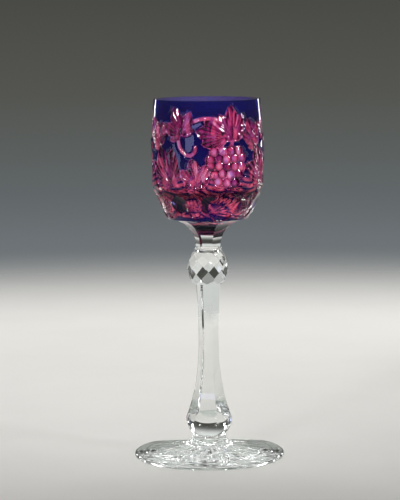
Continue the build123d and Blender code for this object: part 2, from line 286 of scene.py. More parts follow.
def fused_joint():
    """Where two gathers of glass were fused hot: nothing shows."""
    material, tree = new_material("fused_glass_joint")
    clear = add_node(tree, "ShaderNodeBsdfTransparent", values={"Color": linear("#FFFFFF")})
    add_node(tree, "ShaderNodeOutputMaterial", links={"Surface": (clear, "BSDF")})
    return material


def cobalt_flashing():
    """Flashing of cobalt glass between casing and ruby: a clear deep blue towards the rim, where the ruby
    runs thin, navy below it, black where it is seen edge-on, painted black as shade at the foot of the well,
    and cut through over the red of the well."""
    material, tree = new_material("cobalt_glass_flashed")
    place = add_node(tree, "ShaderNodeTexCoord")
    cut = add_node(tree, "ShaderNodeAttribute", {"attribute_name": "ruby_shows"})
    cloud = add_node(
        tree, "ShaderNodeTexNoise", values={"Scale": 1 / (9.0 * MM), "Detail": 2.0},
        links={"Vector": (place, "Object")},
    )
    axes = add_node(tree, "ShaderNodeSeparateXYZ", links={"Vector": (place, "Object")})
    rim = add_node(
        tree, "ShaderNodeMapRange", {"interpolation_type": "SMOOTHSTEP"},
        {"From Min": 112 * MM, "From Max": 127 * MM, "To Min": 0.0, "To Max": 1.0}, {"Value": (axes, "Z")},
    )
    edge_on = add_node(tree, "ShaderNodeLayerWeight", values={"Blend": 0.22})
    # Painted shade: the foot of the well is mixed to near black, for the shade it lies in below the bowl
    foot = add_node(
        tree, "ShaderNodeMapRange", {"interpolation_type": "SMOOTHSTEP"},
        {"From Min": 85.5 * MM, "From Max": 82.5 * MM, "To Min": 0.0, "To Max": 0.95},
        {"Value": (axes, "Z")},
    )
    edge_on_black_and_well_shade = add_node(
        tree, "ShaderNodeMath", {"operation": "MAXIMUM"},
        links={0: (edge_on, "Facing"), 1: (foot, "Result")},
    )
    grain = add_node(
        tree, "ShaderNodeTexNoise", values={"Scale": 1 / (1.6 * MM), "Detail": 1.0},
        links={"Vector": (place, "Object")},
    )
    streak = add_node(
        tree, "ShaderNodeMapRange", values={"From Min": 0.35, "From Max": 0.65},
        links={"Value": (grain, "Fac")},
    )
    layers = {}
    for name, low, high, top, dark, bright in (
        ("seen through", "#1C1C66", "#3636A0", "#4848B0", "#8C2040", "#F06484"),
        ("scattered", "#0A0644", "#18107C", "#1A1858", "#941440", "#FF6C90"),
    ):
        navy = add_node(
            tree, "ShaderNodeMix", {"data_type": "RGBA"},
            {"A": linear(low), "B": linear(high)}, {"Factor": (cloud, "Fac")},
        )
        blue = add_node(
            tree, "ShaderNodeMix", {"data_type": "RGBA"},
            {"B": linear(top)}, {"Factor": (rim, "Result"), "A": (navy, "Result")},
        )
        red = add_node(
            tree, "ShaderNodeMix", {"data_type": "RGBA"},
            {"A": linear(dark), "B": linear(bright)}, {"Factor": (streak, "Result")},
        )
        ruby = add_node(
            tree, "ShaderNodeMix", {"data_type": "RGBA"},
            links={"Factor": (cut, "Fac"), "A": (blue, "Result"), "B": (red, "Result")},
        )
        layers[name] = add_node(
            tree, "ShaderNodeMix", {"data_type": "RGBA"},
            {"B": linear("#04040C")}, {"Factor": (edge_on_black_and_well_shade, "Value"), "A": (ruby, "Result")},
        )
    through = add_node(
        tree, "ShaderNodeBsdfTransparent", links={"Color": (layers["seen through"], "Result")}
    )
    glow = add_node(tree, "ShaderNodeBsdfDiffuse", links={"Color": (layers["scattered"], "Result")})
    bright = add_node(
        tree, "ShaderNodeMapRange", values={"To Min": 0.5, "To Max": 0.92}, links={"Value": (cut, "Fac")}
    )
    both = add_node(
        tree, "ShaderNodeMixShader",
        links={"Fac": (bright, "Result"), 1: (through, "BSDF"), 2: (glow, "BSDF")},
    )
    add_node(tree, "ShaderNodeOutputMaterial", links={"Surface": (both, "Shader")})
    return material


def cobalt_edge():
    """The same cobalt where the wheel laid it bare at the rim and along the cuts."""
    material, tree = new_material("cobalt_glass_polished_edge")
    place = add_node(tree, "ShaderNodeTexCoord")
    cloud = add_node(
        tree, "ShaderNodeTexNoise", values={"Scale": 1 / (4.0 * MM), "Detail": 1.0},
        links={"Vector": (place, "Object")},
    )
    depth = add_node(
        tree, "ShaderNodeMix", {"data_type": "RGBA"},
        {"A": linear("#1D1A8C"), "B": linear("#3733BE")}, {"Factor": (cloud, "Fac")},
    )
    glass = add_node(
        tree, "ShaderNodeBsdfPrincipled",
        values={"IOR": 1.54, "Roughness": 0.06, "Transmission Weight": 0.6},
        links={"Base Color": (depth, "Result")},
    )
    add_node(tree, "ShaderNodeOutputMaterial", links={"Surface": (glass, "BSDF")})
    return material


def ruby_carved():
    """Gold ruby laid bare by the wheel and polished, with light and shade painted by the depth of the cut:
    pale pink painted highlights on the ridges, crimson on the slopes, painted shade nearly black in the cuts.
    Each small flat that the stone left is painted lighter or darker as a glint, and some are painted violet
    for the blue seen through the ruby."""
    material, tree = new_material("gold_ruby_glass_carved")
    place = add_node(tree, "ShaderNodeTexCoord")
    cut = add_node(tree, "ShaderNodeAttribute", {"attribute_name": "cut_depth"})
    # The flats run up the wall, longer than they are wide
    drawn = add_node(
        tree, "ShaderNodeMapping", values={"Scale": (1.0, 1.0, 0.4)}, links={"Vector": (place, "Object")}
    )
    flats = add_node(
        tree, "ShaderNodeTexVoronoi", values={"Scale": 1 / (1.3 * MM)}, links={"Vector": (drawn, "Vector")}
    )
    glint_and_violet_picks = add_node(tree, "ShaderNodeSeparateColor", links={"Color": (flats, "Color")})
    # Painted glints: each flat is painted a little lighter or darker
    painted_glint_step = add_node(
        tree, "ShaderNodeMapRange", values={"To Min": -0.2, "To Max": 0.2}, links={"Value": (glint_and_violet_picks, "Red")}
    )
    depth = add_node(
        tree, "ShaderNodeMath", {"operation": "ADD"}, links={0: (cut, "Fac"), 1: (painted_glint_step, "Result")}
    )
    # Painted shade and highlight: the deeper the cut, the darker the ruby, from pale pink on the ridges to
    # near black in the cuts
    shade = add_node(tree, "ShaderNodeValToRGB", links={"Fac": (depth, "Value")})
    ramp = shade.color_ramp
    ramp.elements[0].position, ramp.elements[0].color = 0.0, linear("#FFC8E4")
    ramp.elements[1].position, ramp.elements[1].color = 1.0, linear("#10041C")
    for spot, code in ((0.16, "#FA94B8"), (0.36, "#E85484"), (0.58, "#A02458"), (0.78, "#3C1044")):
        ramp.elements.new(spot).color = linear(code)
    # Some flats are painted violet, for the blue seen through the ruby
    painted_blue_seen_through = add_node(
        tree, "ShaderNodeMapRange", values={"To Min": -0.2, "To Max": 0.8},
        links={"Value": (glint_and_violet_picks, "Green")},
    )
    tone = add_node(
        tree, "ShaderNodeMix", {"data_type": "RGBA", "blend_type": "MULTIPLY"},
        {"B": linear("#8A78FF")}, {"Factor": (painted_blue_seen_through, "Result"), "A": (shade, "Color")},
    )
    through = add_node(tree, "ShaderNodeBsdfTransparent", values={"Color": linear("#E06490")})
    glow = add_node(tree, "ShaderNodeBsdfDiffuse", links={"Color": (tone, "Result")})
    both = add_node(
        tree, "ShaderNodeMixShader", values={"Fac": 0.7}, links={1: (through, "BSDF"), 2: (glow, "BSDF")}
    )
    add_node(tree, "ShaderNodeOutputMaterial", links={"Surface": (both, "Shader")})
    return material


def ruby_cup():
    """Fire-polished ruby inside the cup: smooth and red, uneven as it was gathered, and running out to
    clear glass at the lip."""
    material, tree = new_material("gold_ruby_glass_fire_polished")
    place = add_node(tree, "ShaderNodeTexCoord")
    cloud = add_node(
        tree, "ShaderNodeTexNoise", values={"Scale": 1 / (8.0 * MM), "Detail": 1.0},
        links={"Vector": (place, "Object")},
    )
    shade = add_node(
        tree, "ShaderNodeMix", {"data_type": "RGBA"},
        {"A": linear("#E2687E"), "B": linear("#D24A66")}, {"Factor": (cloud, "Fac")},
    )
    axes = add_node(tree, "ShaderNodeSeparateXYZ", links={"Vector": (place, "Object")})
    rim = add_node(
        tree, "ShaderNodeMapRange", {"interpolation_type": "SMOOTHSTEP"},
        {"From Min": 117 * MM, "From Max": 125 * MM, "To Min": 0.0, "To Max": 1.0}, {"Value": (axes, "Z")},
    )
    tone = add_node(
        tree, "ShaderNodeMix", {"data_type": "RGBA"},
        {"B": linear("#D8D4F4")}, {"Factor": (rim, "Result"), "A": (shade, "Result")},
    )
    glass = add_node(
        tree, "ShaderNodeBsdfPrincipled",
        values={"IOR": 1.54, "Roughness": 0.02, "Transmission Weight": 0.92},
        links={"Base Color": (tone, "Result")},
    )
    lamps_through(tree, glass, "#E890A4")
    return material


CRYSTAL = polished_crystal("lead_crystal_wheel_cut", "#F9FBFA", "#FFFFFF")
# The foot of the bowl turns down to the pale floor, and mirrors only a little of it
BASE_CRYSTAL = polished_crystal("lead_crystal_bowl_base", "#F9FBFA", "#5C6478")
# The round hollows are clear crystal painted dark, as the shade of the well seen through them, and look black
# with a violet sheen
LENS_CRYSTAL = polished_crystal("lead_crystal_lens_cut", "#140C38", "#A0A8C0")
JOINT = fused_joint()
COBALT = cobalt_flashing()
COBALT_EDGE = cobalt_edge()
RUBY_CARVED = ruby_carved()
RUBY_CUP = ruby_cup()


# Foot and stem

def make_foot():
    """Shallow cone with a rounded edge, hollowed underneath and cut with a star of V-shaped rays."""
    rays, columns = 24, 384
    hollow, rest_inner, edge, lip = 0.4, 22.35, 25.75, 1.7
    cone_top = (9.6, 4.2)
    under = [(r, hollow) for r in np.linspace(0, rest_inner - hollow, 26)]
    side = arc_through((edge, 0), (edge + lip / 2, lip / 2), (edge, lip), 10)
    cone = line_points((edge, lip), cone_top, 14)[1:]
    flare = arc_through(cone_top, (7.35, 5.13), (BUTTON_RADIUS, FOOT_TOP), 10)[1:]
    profile = under + [(rest_inner, 0)] + side + cone + flare + [(0, FOOT_TOP)]
    foot, ring, column = turn_on_lathe("cut_foot", profile, columns, 0)
    place = corners(foot)
    radius = np.hypot(place[:, 0], place[:, 1])
    # The rays are deepest half way between the middle of the foot and its resting ring
    inner, outer, depth, half_width = 2.2, rest_inner - hollow - 0.5, 0.4, 1.1
    middle = (inner + outer) / 2
    taper = np.clip(1 - np.abs(radius - middle) / (middle - inner), 0, 1)
    across = radius * np.abs(off_panel(column * 360 / columns, rays, 0))
    groove = depth * np.clip(taper - across / half_width, 0, None)
    place[:, 2] += np.where(ring < len(under) - 1, groove, 0)
    move_corners(foot, place)
    _, high = face_bands(foot, ring)
    paint_faces(foot, [CRYSTAL, JOINT], high == len(profile) - 1)
    finish_piece(foot, "foot", 14)


def make_button():
    """Small rounded disc between foot and stem."""
    base, top_radius = FOOT_TOP + JOINT_GAP, 5.7
    middle = (BUTTON_RADIUS, (base + BUTTON_TOP) / 2)
    side = arc_through((BUTTON_RADIUS, base), middle, (top_radius, BUTTON_TOP), 8)
    profile = [(0, base)] + side + [(0, BUTTON_TOP)]
    button, ring, _ = turn_on_lathe("button_disc", profile, 96, 0)
    low, high = face_bands(button, ring)
    paint_faces(button, [CRYSTAL, JOINT], (low == 0) | (high == len(profile) - 1))
    finish_piece(button, "foot_button", 40)


def make_stem():
    """Six-sided baluster: hollow-ground panels that swell to a bulb near the foot."""
    columns, base = 192, BUTTON_TOP + JOINT_GAP
    # Distance of a panel from the axis at heights up the stem
    heights = [BUTTON_TOP, 12.6, 13.7, 15, 16.5, 18, 20, 22, 25, 28, 32,
               36, 40, 44.6, 48, 52, 56, 59, STEM_TOP]
    flats = [9.46, 7.539, 7.145, 6.714, 6.254, 5.834, 5.336, 4.898, 4.349, 3.911, 3.492,
             3.226, 3.09, 3.074, 3.14, 3.274, 3.458, 3.62, STEM_END]
    curve = np.polynomial.Polynomial.fit(heights, flats, 8)
    bulb_height, bulb_radius, bulb_round = 13.7, 8.25, 7.424
    rises = np.concatenate([np.linspace(base, 22, 40), np.linspace(23, STEM_TOP, 40)])

    def envelope(height):
        below = np.clip(bulb_height - height, 0, None)
        return bulb_radius - bulb_round + np.sqrt(bulb_round**2 - below**2)

    profile = [(0, base)] + [(min(curve(z), envelope(z)), z) for z in rises] + [(0, STEM_TOP)]
    stem, ring, column = turn_on_lathe("baluster_stem", profile, columns, PANEL_TURN)
    place = corners(stem)
    angle = PANEL_TURN + column * 360 / columns
    panel = curve(place[:, 2]) / np.cos(off_panel(angle, STEM_SIDES, PANEL_TURN))
    radius = np.minimum(panel, envelope(place[:, 2]))
    radius[(ring == 0) | (ring == len(profile) - 1)] = 0
    move_corners(stem, round_axis(radius, angle, place[:, 2]))
    low, high = face_bands(stem, ring)
    paint_faces(stem, [CRYSTAL, JOINT], (low == 0) | (high == len(profile) - 1))
    finish_piece(stem, "stem", 16)


def make_knop():
    """Ball cut flat all over: a row of diamonds round its middle, a staggered row above and below,
    and a ring of facets at each end."""
    radius, row_tilt, cap_tilt, lying_flat = 7.45, 20, 48, 0.99
    base, top = STEM_TOP + JOINT_GAP, KNOP_TOP
    middle, half = (STEM_TOP + KNOP_TOP) / 2, (KNOP_TOP - STEM_TOP) / 2
    cap = math.radians(cap_tilt)
    cap_distance = KNOP_END * math.cos(cap) + half * math.sin(cap)
    row_distance = radius * math.cos(math.radians(row_tilt))
    between = KNOP_TURN + 180 / KNOP_SIDES
    rows = [
        (0, radius * math.cos(math.pi / KNOP_SIDES), KNOP_TURN),
        (row_tilt, row_distance, between),
        (-row_tilt, row_distance, between),
        (cap_tilt, cap_distance, KNOP_TURN),
        (-cap_tilt, cap_distance, KNOP_TURN),
    ]
    clear_selection()
    bpy.ops.mesh.primitive_cylinder_add(
        vertices=64, radius=1.2 * radius * MM, depth=(top - base) * MM,
        location=(0, 0, (base + top) / 2 * MM),
    )
    knop = bpy.context.object
    knop.name = knop.data.name = "facet_knop"
    bpy.ops.object.transform_apply(location=True, rotation=True, scale=True)
    bpy.ops.object.mode_set(mode="EDIT")
    for tilt, distance, first in rows:
        level, lift = math.cos(math.radians(tilt)), math.sin(math.radians(tilt))
        for i in range(KNOP_SIDES):
            out = round_axis(level, first + 360 * i / KNOP_SIDES, lift)
            spot = out * distance + np.array([0, 0, middle])
            bpy.ops.mesh.select_all(action="SELECT")
            bpy.ops.mesh.bisect(plane_co=spot * MM, plane_no=out, use_fill=True, clear_outer=True)
    # The stem's six-sided top is marked out on the bottom face, which is fused only there
    for i in range(STEM_SIDES):
        bpy.ops.mesh.select_all(action="DESELECT")
        bpy.ops.object.mode_set(mode="OBJECT")
        for face in knop.data.polygons:
            face.select = face.normal.z < -lying_flat
        bpy.ops.object.mode_set(mode="EDIT")
        out = round_axis(1.0, PANEL_TURN + 360 * i / STEM_SIDES, 0.0)
        bpy.ops.mesh.bisect(plane_co=out * STEM_END * MM + np.array([0, 0, base * MM]), plane_no=out)
    weld_and_close()
    fused = []
    for face in knop.data.polygons:
        x, y, z = face.center / MM
        within = all(
            x * math.sin(a) - y * math.cos(a) < STEM_END
            for a in (math.radians(PANEL_TURN + 360 * i / STEM_SIDES) for i in range(STEM_SIDES))
        )
        fused.append(abs(face.normal.z) > lying_flat and (z > middle or within))
    paint_faces(knop, [CRYSTAL, JOINT], fused)
    finish_piece(knop, "knop", 4)


def make_collar():
    """Thin disc between knop and bowl; the bowl's six-sided neck stands on the middle of it."""
    columns, base, top, edge = 192, KNOP_TOP + JOINT_GAP, COLLAR_TOP, KNOP_END
    side = arc_through((edge, base), (edge + 0.2, (base + top) / 2), (edge, top), 8)
    profile = [(0, base)] + side + [(4.1, top), (0, top)]
    collar, ring, column = turn_on_lathe("collar_disc", profile, columns, PANEL_TURN)
    place = corners(collar)
    angle = PANEL_TURN + column * 360 / columns
    radius = np.hypot(place[:, 0], place[:, 1])
    # The ring on top is set on the outline of the six-sided neck, and the lowest one on the knop's end
    neck = NECK_FLAT / np.cos(off_panel(angle, STEM_SIDES, PANEL_TURN))
    knop = edge / np.cos(off_panel(angle, KNOP_SIDES, KNOP_TURN))
    radius = np.where(ring == len(profile) - 2, neck, np.where(ring == 1, knop, radius))
    move_corners(collar, round_axis(radius, angle, place[:, 2]))
    low, high = face_bands(collar, ring)
    paint_faces(collar, [CRYSTAL, JOINT], (low == 0) | (high == len(profile) - 1))
    finish_piece(collar, "neck_collar", 40)


# Bowl: its wall, its layers and the carving

COLUMNS = 432
FIRST = PANEL_TURN
BOWL_HEIGHT = 52.4
CASING, FLASHING, LINING = 1.05, 0.35, 1.0
LEDGE, SHOULDER, BELLY = (14.1, 10.5), (19.55, 22.5), (19.9, 37.5)
LEDGE_BULGE = 0.7
RIM_RADIUS = 18.7
SPRING, CORNER = 25.5, 3.5
SHELF, SHELF_SLOPE, SHELF_FILLET = 19.6, 10.0, 2.5
WELL, WELL_BOTTOM, WELL_CORNER = 9.6, 7.6, 7.5
FLUTE_WHEEL = 9.75
# Rows of the casing's wall, and the rise above which the carving reaches the ruby
WALL_RISES = np.linspace(LEDGE[1], BOWL_HEIGHT, 166)
CARVED_FROM = 22.0


def outer_radius(rise):
    """Radius of the uncut outside of the bowl at a rise above the collar."""
    chord = np.array(LEDGE) - np.array(SHOULDER)
    chord /= np.hypot(*chord)
    bulge = (np.array(LEDGE) + np.array(SHOULDER)) / 2 + np.array([-chord[1], chord[0]]) * LEDGE_BULGE
    lower = circle_through(LEDGE, tuple(bulge), SHOULDER)
    upper = circle_through(SHOULDER, BELLY, (RIM_RADIUS, BOWL_HEIGHT))
    radii = []
    for ox, oy, r in (lower, upper):
        radii.append(ox + np.sqrt(np.clip(r**2 - (rise - oy) ** 2, 0, None)))
    return np.where(rise < SHOULDER[1], radii[0], radii[1])


def layer_radius(inset, rise):
    """Radius of a layer's outside, taken in by inset from the casing's inside, down to the shelf's corner."""
    wall = SHOULDER[0] - CASING
    belly, rim = (BELLY[0] - CASING, BELLY[1]), (RIM_RADIUS - CASING, BOWL_HEIGHT)
    upper = circle_through((wall, SPRING), belly, rim)
    curved = upper[0] + np.sqrt(np.clip(upper[2] ** 2 - (rise - upper[1]) ** 2, 0, None)) - inset
    slope = math.radians(SHELF_SLOPE)
    start = SHELF + (wall - WELL) * math.tan(slope) + CORNER / math.tan(math.pi / 4 + slope / 2)
    below = np.clip(start - rise, 0, None)
    corner = wall - CORNER + np.sqrt(np.clip((CORNER - inset) ** 2 - below**2, 0, None))
    return np.where(rise < start, corner, np.where(rise < SPRING, wall - inset, curved))


def rounded_points(points, radii, steps):
    """Points along a chain of lines with an arc of its own radius at each corner."""
    chain = [np.array(points[0])]
    for before, corner, after, radius in zip(points, points[1:], points[2:], radii):
        before, corner, after = np.array(before), np.array(corner), np.array(after)
        back = (before - corner) / np.hypot(*(before - corner))
        ahead = (after - corner) / np.hypot(*(after - corner))
        half = math.acos(back @ ahead) / 2
        inward = (back + ahead) / np.hypot(*(back + ahead))
        start = corner + back * radius / math.tan(half)
        end = corner + ahead * radius / math.tan(half)
        top = corner + inward * (radius / math.sin(half) - radius)
        chain += [np.array(q) for q in arc_through(start, top, end, steps)]
    return chain + [np.array(points[-1])]


def cup_floor(inset, start_rise, steps):
    """Profile of a layer from a rise on the corner of its shelf, over the shelf and down the well."""
    slope = math.radians(SHELF_SLOPE)
    wall, well = SHOULDER[0] - CASING - inset, WELL - inset
    shelf = SHELF + inset / math.cos(slope)
    points = [
        (wall, SPRING),
        (wall, shelf + (wall - WELL) * math.tan(slope)),
        (well, shelf - inset * math.tan(slope)),
        (well, WELL_BOTTOM + inset),
        (0.0, WELL_BOTTOM + inset),
    ]
    radii = (CORNER - inset, SHELF_FILLET + inset, WELL_CORNER - inset)
    chain = rounded_points(points, radii, steps)
    return [(float(r), COLLAR_TOP + float(rise)) for r, rise in chain if rise < start_rise - 0.05]


# Leaves: angle and rise of the base, direction, length and spread of the lobes
LEAVES = (
    (22, 40.2, 172, 12.2, 0.6),
    (28, 38.6, 92, 12.4, 0.7),
    (-28.5, 40.6, 112, 10.6, 1.15),
    (-43, 22.8, 114, 15.6, 0.72),
    (-11, 22.6, 102, 10.6, 0.9),
    (61, 36.8, 114, 10.2, 0.9),
)
# Leaves cut in the casing alone, between the round hollows below the vine
LOW_LEAVES = (
    (-16, 11.6, 92, 9.0, 0.35),
    (3, 13.4, 22, 13.0, 0.45),
    (50, 12.0, 130, 9.0, 0.5),
    (60, 11.6, 84, 9.5, 0.5),
)
LOBES = ((0, 1.0), (40, 0.85), (-40, 0.85), (78, 0.5), (-78, 0.5))
LOBE_WIDTH = 0.52
# Degrees between the mitre cuts of a leaf, and half the width of the cut down a lobe
FAN_PITCH, RIB_WIDTH = 11.0, 0.45
TENDRIL = (
    ((24, 35.0), (27, 38.2), (32, 41.2)),
    ((32, 41.2), (1, 46.4), (-22, 43.9)),
    ((-22, 43.9), (-31, 38.0), (-24, 34.4)),
    ((-24, 34.4), (-17.5, 33.8), (-12.5, 36.4)),
)
TENDRIL_WIDTH = 1.3
GRAPE_ROWS = (4, 5, 5, 4, 3)
GRAPE_PITCH = 3.15
GRAPE_TURN, GRAPE_TOP = 21.0, 35.2
LENSES = 10
LENS_TURN, LENS_RISE, LENS_RADIUS, LENS_DEPTH = -34.0, 16.4, 3.6, 0.85
# Width of the sloping wall that the wheel leaves round each cut, and a distance clear of every cut
CUT_SLOPE, FAR = 0.5, 9.0
# Millimetres along the wall for each degree round it, and the repeat of the vine
STEP = math.radians(1) * BELLY[0]
REPEAT = 120 * STEP


def uneven(count):
    """A share from 0 to 1 for each cut of a row, as uneven as work done by eye."""
    return np.sin(12.9 * count + 1.7) * 43.7 % 1


def cut_leaf(x, y, angle, rise, heading, length, spread):
    """Distance to the outline of a leaf, negative inside it, and how deep its relief is cut: mitre cuts
    that fan out from the base, a deeper one down each lobe, and edges that fall away."""
    near = np.full(x.shape, FAR)
    relief = np.zeros(x.shape)
    dx, dy = x - angle * STEP, y - rise
    fan = np.degrees(np.arctan2(dy, dx)) / FAN_PITCH
    mitre = np.abs(2 * (fan % 1) - 1) * np.clip(np.hypot(dx, dy) / 4, 0, 1)
    flat = uneven(np.floor(fan) + angle)
    for turn, share in LOBES:
        a = math.radians(heading + turn * spread)
        along = dx * math.cos(a) + dy * math.sin(a)
        across = np.abs(dy * math.cos(a) - dx * math.sin(a))
        reach = share * length
        half = reach * LOBE_WIDTH / 2
        bow = (reach**2 / 4 + half**2) / (2 * half)
        outline = np.hypot(along - reach / 2, across + bow - half) - bow
        rib = np.clip(1 - across / RIB_WIDTH, 0, 1)
        fall = np.clip(1 + outline / half, 0, 1)
        inside = outline < near
        near = np.where(inside, outline, near)
        relief = np.where(inside, 0.3 * mitre + 0.2 * rib + 0.3 * fall + 0.2 * flat, relief)
    return near, relief


def vine(x, y, leaves):
    """Distance to the outline of the vine on the unrolled wall, negative inside it, and how deep the
    relief there is cut below the skin of the ruby."""
    x = (x + REPEAT / 2) % REPEAT - REPEAT / 2
    near = np.full(x.shape, FAR)
    relief = np.zeros(x.shape)

    def keep(outline, depth):
        inside = outline < near
        near[inside] = outline[inside]
        relief[inside] = depth[inside]

    for shift in (-REPEAT, 0, REPEAT):
        for leaf in leaves:
            keep(*cut_leaf(x - shift, y, *leaf))
        for arc in TENDRIL:
            stalk = arc_through(*[(angle * STEP, rise) for angle, rise in arc], 24)
            for px, py in stalk:
                away = np.hypot(x - px - shift, y - py)
                rounded = np.clip(away / (TENDRIL_WIDTH / 2), 0, 1) ** 2
                keep(away - TENDRIL_WIDTH / 2, 0.2 + 0.35 * rounded)
        drop = GRAPE_PITCH * math.sin(math.radians(60))
        for row, count in enumerate(GRAPE_ROWS):
            for i in range(count):
                own = uneven(7 * row + i)
                px = GRAPE_TURN * STEP + (i - (count - 1) / 2) * GRAPE_PITCH + 0.6 * (own - 0.5)
                py = GRAPE_TOP - row * drop + 0.8 * (uneven(own) - 0.5)
                away = np.hypot(x - px - shift, y - py)
                dome = 0.5 * np.clip(away / (0.55 * GRAPE_PITCH), 0, 1) ** 2 + 0.25 * own
                keep(away - (0.54 + 0.12 * own) * GRAPE_PITCH, dome)
    return near, relief


def ruby_in_well(angle, rise):
    """How much of the ruby shows through the cobalt of the well: slanting strokes of the wheel, with a dark
    band over the ledge of the bowl, and the red hidden at the foot of the well as painted shade."""
    stroke_pitch, dark_rise, dark_half, foot_rise = 2.1, 11.4, 0.7, 7.6
    wander = 0.5 * np.sin(np.radians(3 * angle)) + 0.3 * np.sin(np.radians(8 * angle + 40))
    stroke = np.sin(2 * math.pi * (rise / stroke_pitch + angle / 60 + wander))
    patch = 0.5 + np.sin(np.radians(9 * angle) + rise / 3) * np.sin(np.radians(6 * angle - 70) - rise / 4)
    shows = np.clip(0.8 + 1.1 * stroke, 0, 1) * np.clip(0.75 + patch, 0.2, 1)
    band = np.clip((np.abs(rise - dark_rise) - dark_half) / 0.6, 0, 1)
    # Below the foot of the well no red shows: painted shade at the bottom of the well
    return shows * band * np.clip((rise - foot_rise) / 0.8, 0, 1)


def settle_on_outline(x, y, leaves, pitch):
    """Shifts grid points that lie close to an edge of the cut onto it, so that the edges run smooth."""
    probe = 0.02
    base, _ = vine(x, y, leaves)
    gx = (vine(x + probe, y, leaves)[0] - vine(x - probe, y, leaves)[0]) / (2 * probe)
    gy = (vine(x, y + probe, leaves)[0] - vine(x, y - probe, leaves)[0]) / (2 * probe)
    steep = np.clip(gx**2 + gy**2, 0.25, None)
    for level in (0.0, CUT_SLOPE):
        off = base - level
        near = np.abs(off) < pitch
        x = np.where(near, x - off * gx / steep, x)
        y = np.where(near, y - off * gy / steep, y)
    return x, y


def carve_wall(count, rises, leaves):
    """The wall as a grid of rows and columns: angle, rise, distance to the outline of the vine and relief.
    One repeat of the vine is worked out and set round three times."""
    angle = FIRST + np.arange(count // 3) * 360 / count
    x, y = np.meshgrid(angle * STEP, rises)
    margin = 0.5
    free = (y > rises[0] + margin) & (y < BOWL_HEIGHT - margin)
    sx, sy = settle_on_outline(x, y, leaves, 0.52 * 360 / count * STEP)
    x, y = np.where(free, sx, x), np.where(free, sy, y)
    near, relief = vine(x, y, leaves)
    x = np.concatenate([x, x + REPEAT, x + 2 * REPEAT], axis=1)
    y, near, relief = (np.tile(grid, (1, 3)) for grid in (y, near, relief))
    return x / STEP, y, near, relief


def lens_depth(angle, rise):
    """Depth of the round hollows ground into the casing below the vine."""
    slope, wall_radius = 0.46, 17.8
    pitch = 360 / LENSES
    across = ((angle - LENS_TURN + pitch / 2) % pitch - pitch / 2) * STEP * wall_radius / BELLY[0]
    along = (rise - LENS_RISE) / math.cos(slope)
    sphere = (LENS_RADIUS**2 + LENS_DEPTH**2) / (2 * LENS_DEPTH)
    hollow = np.sqrt(np.clip(sphere**2 - across**2 - along**2, 0, None)) - (sphere - LENS_DEPTH)
    return np.clip(hollow, 0, None)


def cut_windows(piece, ring, column, rows, open_here):
    """Opens a shell where the carving goes right through it, and joins its two skins along the cut."""
    through = np.zeros(len(ring), bool)
    for first_ring, wall_rows in rows:
        on = (ring >= first_ring) & (ring < first_ring + len(wall_rows))
        through[on] = open_here[np.array(wall_rows)[ring[on] - first_ring], column[on]]
    owner, start = face_corners(piece.data)
    gone = np.logical_and.reduceat(through[owner], start)
    take_up(piece)
    bpy.ops.object.mode_set(mode="EDIT")
    bpy.ops.mesh.select_mode(type="FACE")
    bpy.ops.mesh.select_all(action="DESELECT")
    bpy.ops.object.mode_set(mode="OBJECT")
    piece.data.polygons.foreach_set("select", gone)
    bpy.ops.object.mode_set(mode="EDIT")
    bpy.ops.mesh.delete(type="FACE")
    bpy.ops.mesh.select_mode(type="VERT")
    bpy.ops.mesh.select_all(action="SELECT")
    bpy.ops.mesh.remove_doubles(threshold=WELD * MM)
    bpy.ops.mesh.select_all(action="DESELECT")
    bpy.ops.object.mode_set(mode="OBJECT")


